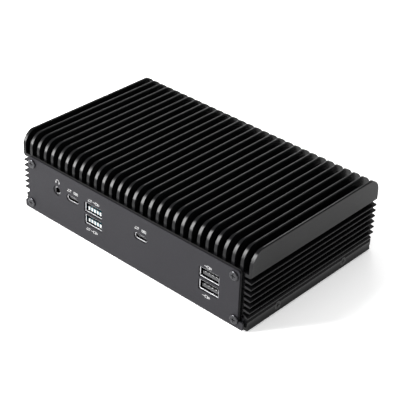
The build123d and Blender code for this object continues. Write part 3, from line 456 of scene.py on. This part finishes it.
def draw_network(sign):
    """Three boxes joined by lines."""
    sign.frame(-0.6, 0.5, 0.6, 1.5, LINE)
    sign.box(-LINE / 2, 0.0, LINE / 2, 0.5)
    sign.box(-1.7, -LINE, 1.7, 0.0)
    for x in (-1.5, 1.5):
        sign.frame(x - 0.6, -1.6, x + 0.6, -0.6, LINE)
        sign.box(x - LINE / 2, -0.6, x + LINE / 2, -LINE)


def draw_inlet(sign):
    """A ring around a dot, as on a barrel plug."""
    sign.arc(0, 0, 1.2, LINE, 0, 360, steps=24)
    sign.box(-0.35, -0.35, 0.35, 0.35)


def front_signs(material):
    face_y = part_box("front_panel")[0][1] - PRINT_LIFT
    sign = Sign(face_y, turned=False)
    sign.at(AUDIO_SIGN[0] * MM, AUDIO_SIGN[1] * MM)
    draw_headphones(sign)
    for x, z in USB_C_SIGNS:
        sign.at(x * MM, z * MM)
        draw_arrows(sign, -2.9)
        draw_slot(sign, 2.4)
    for x, z in LEFT_USB_A_SIGNS:
        sign.at(x * MM, z * MM)
        draw_arrows(sign, -2.4)
        draw_plug(sign, 2.6)
    for x, z in RIGHT_USB_A_SIGNS:
        sign.at(x * MM, z * MM)
        draw_plug(sign, 0.0)
    sign.finish("front_signs", material)


def above(node, index):
    """The middle of one socket of a node, seen from behind, and the height for its sign."""
    low, high = solids(node)[index]
    return (low[0] + high[0]) / 2, high[2] + SIGN_RISE


def rear_signs(material):
    face_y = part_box("rear_panel")[1][1] + PRINT_LIFT
    sign = Sign(face_y, turned=True)
    sign.at(*above("dc_jack", 0))
    draw_inlet(sign)
    for index in (0, 1):
        sign.at(*above("video_shells", index))
        draw_screen(sign)
        sign.at(*above("lan_ports", index))
        draw_network(sign)
    sign.at(*above("power_button", 0))
    draw_power(sign)
    sign.finish("rear_signs", material)


# ---------------------------------------------------------------- small pieces inside


def solids(node):
    """The bounds of each separate solid of a CAD node, from left to right."""
    mesh = bmesh.new()
    mesh.from_mesh(frame["nodes"][node].data)
    mesh.transform(frame["nodes"][node].matrix_world)
    bmesh.ops.remove_doubles(mesh, verts=mesh.verts, dist=SAME_POINT)
    seen = set()
    found = []
    for start in mesh.verts:
        if start in seen:
            continue
        island = [start]
        seen.add(start)
        for vertex in island:
            for edge in vertex.link_edges:
                other = edge.other_vert(vertex)
                if other not in seen:
                    seen.add(other)
                    island.append(other)
        low = tuple(min(v.co[axis] for v in island) for axis in range(3))
        high = tuple(max(v.co[axis] for v in island) for axis in range(3))
        found.append((low, high))
    mesh.free()
    return sorted(found)


def boxes_piece(name, boxes, material):
    """One piece of many small boxes, each given by its low and high corners."""
    mesh = bmesh.new()
    for low, high in boxes:
        middle = [(a + b) / 2 for a, b in zip(low, high)]
        size = [b - a for a, b in zip(low, high)]
        place = Matrix.Translation(middle) @ Matrix.Diagonal((*size, 1.0))
        bmesh.ops.create_cube(mesh, size=1.0, matrix=place)
    data = bpy.data.meshes.new(name)
    mesh.to_mesh(data)
    mesh.free()
    data.materials.append(material)
    piece = bpy.data.objects.new(name, data)
    bpy.context.collection.objects.link(piece)
    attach(piece, "case")


def occupied_cells(boards, low_z, high_z):
    """The cells of a grid that any CAD face at the given height lies over."""
    cells = set()
    for name, node in frame["nodes"].items():
        if name in boards:
            continue
        points = [node.matrix_world @ vertex.co for vertex in node.data.vertices]
        for face in node.data.polygons:
            corners = [points[index] for index in face.vertices]
            heights = [corner.z for corner in corners]
            if max(heights) < low_z or min(heights) > high_z:
                continue
            spans = [cell_span([corner[axis] for corner in corners]) for axis in (0, 1)]
            cells.update((i, j) for i in spans[0] for j in spans[1])
    return cells


def cell_span(values):
    return range(math.floor(min(values) / CELL), math.floor(max(values) / CELL) + 1)


def small_parts(board, upper, seed):
    """Boxes for chip resistors and capacitors, scattered over the free cells of one board side."""
    low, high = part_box(board)
    base = high[2] if upper else low[2]
    height = PART_SIZE[2]
    span = (base + BOARD_GAP, base + height) if upper else (base - height, base - BOARD_GAP)
    reach = (base - BOARD_GAP, base + height) if upper else (base - height, base + BOARD_GAP)
    taken = occupied_cells(("mainboard", "io_board"), *reach)
    rng = random.Random(seed)
    boxes = []
    columns = range(math.ceil(low[0] / CELL) + 1, math.floor(high[0] / CELL) - 1)
    rows = range(math.ceil(low[1] / CELL) + 1, math.floor(high[1] / CELL) - 1)
    for i in columns:
        for j in rows:
            near = {(i + a, j + b) for a in (-1, 0, 1) for b in (-1, 0, 1)}
            if near & taken or rng.random() > PART_SHARE:
                continue
            length, width = PART_SIZE[:2] if rng.random() < LENGTHWISE_SHARE else PART_SIZE[1::-1]
            x = (i + 0.5) * CELL
            y = (j + 0.5) * CELL
            boxes.append(((x - length / 2, y - width / 2, span[0]), (x + length / 2, y + width / 2, span[1])))
    return boxes


def all_small_parts(materials):
    boxes = []
    for index, board in enumerate(("mainboard", "io_board")):
        boxes += small_parts(board, True, UPPER_SEED + index)
        boxes += small_parts(board, False, LOWER_SEED + index)
    boxes_piece("chip_capacitors", boxes[::2], materials["ceramic_tan"])
    boxes_piece("chip_resistors", boxes[1::2], materials["chip_black"])


def strips(tongue, count, inset, lift):
    """Flat contacts on both faces of a socket's tongue, running front to back."""
    low, high = tongue
    pitch = (high[0] - low[0]) / (count + 1)
    half = pitch * CONTACT_SHARE
    boxes = []
    for i in range(count):
        x = low[0] + (i + 1) * pitch
        for z in (low[2], high[2]):
            boxes.append(((x - half, low[1] + inset, z - lift), (x + half, high[1] - inset, z + lift)))
    return boxes


def tongue_contacts(materials):
    boxes = []
    for tongue in solids("usb_c_tongues"):
        boxes += strips(tongue, USB_C_CONTACTS, USB_C_INSET, USB_C_LIFT)
    for tongue in solids("video_tongues"):
        boxes += strips(tongue, VIDEO_CONTACTS, VIDEO_INSET, VIDEO_LIFT)
    boxes_piece("tongue_contacts", boxes, materials["contact_gold"])


def lan_lights(materials):
    """A small light window in both lower corners of each network socket."""
    for color, side in (("lamp_green", 0), ("lamp_amber", 1)):
        boxes = []
        for low, high in solids("lan_ports"):
            x = (low[0] + LAMP_INSET, high[0] - LAMP_INSET)[side]
            boxes.append(((x - LAMP_HALF_WIDTH, high[1] - LAMP_DEPTH, low[2] + LAMP_BOTTOM),
                          (x + LAMP_HALF_WIDTH, high[1] + LAMP_LIFT, low[2] + LAMP_TOP)))
        boxes_piece("lan_" + color, boxes, materials[color])


def module_chips(materials):
    """Dark caps over the chips that belong to the memory and storage cards."""
    boxes = chip_caps(frame["nodes"]["memory_module"]) + chip_caps(frame["nodes"]["ssd_module"])
    boxes_piece("module_chips", boxes, materials["chip_black"])


def chip_caps(node):
    """A box around each chip on a card's underside: its lowest flat faces are the chips' faces."""
    lowest = min(vertex.co.z for vertex in node.data.vertices)
    caps = set()
    for face in node.data.polygons:
        corners = [node.data.vertices[index].co for index in face.vertices]
        if max(corner.z for corner in corners) > lowest + CAP_GAP:
            continue
        low = [round(min(corner[axis] for corner in corners) - CAP_GAP, CAP_DIGITS) for axis in (0, 1)]
        high = [round(max(corner[axis] for corner in corners) + CAP_GAP, CAP_DIGITS) for axis in (0, 1)]
        caps.add(((*low, lowest - CAP_GAP), (*high, lowest + CHIP_HEIGHT)))
    return sorted(caps)


# ---------------------------------------------------------------- studio


def floor():
    material, shader = new_material("floor")
    shader.inputs["Base Color"].default_value = (FLOOR_GREY, FLOOR_GREY, FLOOR_GREY, 1.0)
    shader.inputs["Roughness"].default_value = 0.9
    shader.inputs["Specular IOR Level"].default_value = 0.1
    shader.inputs["Emission Color"].default_value = (1.0, 1.0, 1.0, 1.0)
    shader.inputs["Emission Strength"].default_value = FLOOR_GLOW
    bpy.ops.mesh.primitive_plane_add(size=FLOOR_SIZE, location=(0.0, 0.0, 0.0))
    plane = bpy.context.object
    plane.name = "floor"
    plane.data.materials.append(material)


def soft_light(name, direction, distance, size, watts):
    """A rectangular soft light that looks at the middle of the case."""
    data = bpy.data.lights.new(name, "AREA")
    data.shape = "RECTANGLE"
    data.size = size[0]
    data.size_y = size[1]
    data.energy = watts
    light = bpy.data.objects.new(name, data)
    bpy.context.collection.objects.link(light)
    away = Vector(direction).normalized()
    light.location = Vector(LIGHT_TARGET) + away * distance
    light.rotation_euler = away.to_track_quat("Z", "Y").to_euler()


def world(strength):
    background = bpy.data.worlds.new("studio")
    background.use_nodes = True
    node = background.node_tree.nodes["Background"]
    node.inputs["Color"].default_value = (1.0, 1.0, 1.0, 1.0)
    node.inputs["Strength"].default_value = strength
    bpy.context.scene.world = background


def camera():
    azimuth = math.radians(CAMERA_AZIMUTH)
    elevation = math.radians(CAMERA_ELEVATION)
    roll = math.radians(CAMERA_ROLL)
    back = Vector((math.sin(azimuth) * math.cos(elevation), -math.cos(azimuth) * math.cos(elevation),
                   math.sin(elevation)))
    level = Vector((math.cos(azimuth), math.sin(azimuth), 0.0))
    upright = back.cross(level)
    right = level * math.cos(roll) + upright * math.sin(roll)
    up = upright * math.cos(roll) - level * math.sin(roll)
    place = Vector(CAMERA_TARGET) + right * CAMERA_OFFSET[0] + up * CAMERA_OFFSET[1] + back * CAMERA_DISTANCE
    data = bpy.data.cameras.new("camera")
    data.lens = CAMERA_LENS
    data.sensor_width = SENSOR
    data.clip_start = CLIP_START
    view = bpy.data.objects.new("camera", data)
    turn = Matrix((right, up, back)).transposed().to_4x4()
    view.matrix_world = Matrix.Translation(place) @ turn
    bpy.context.collection.objects.link(view)
    bpy.context.scene.camera = view


def studio():
    floor()
    world(WORLD_STRENGTH)
    soft_light("front_left", FRONT_LIGHT, FRONT_DISTANCE, FRONT_SIZE, FRONT_WATTS)
    soft_light("back_left", BACK_LIGHT, BACK_DISTANCE, BACK_SIZE, BACK_WATTS)
    camera()
    bpy.context.scene.view_settings.view_transform = "Standard"


materials = {**case_materials(), **inner_materials()}
paint_nodes(materials)
white_print = coated("white_print", (0.30, 0.30, 0.30), 0.5, 3000.0, 0.002 * MM)
front_signs(white_print)
rear_signs(white_print)
all_small_parts(materials)
tongue_contacts(materials)
lan_lights(materials)
module_chips(materials)
soften_edges(["front_panel", "rear_panel"])
studio()
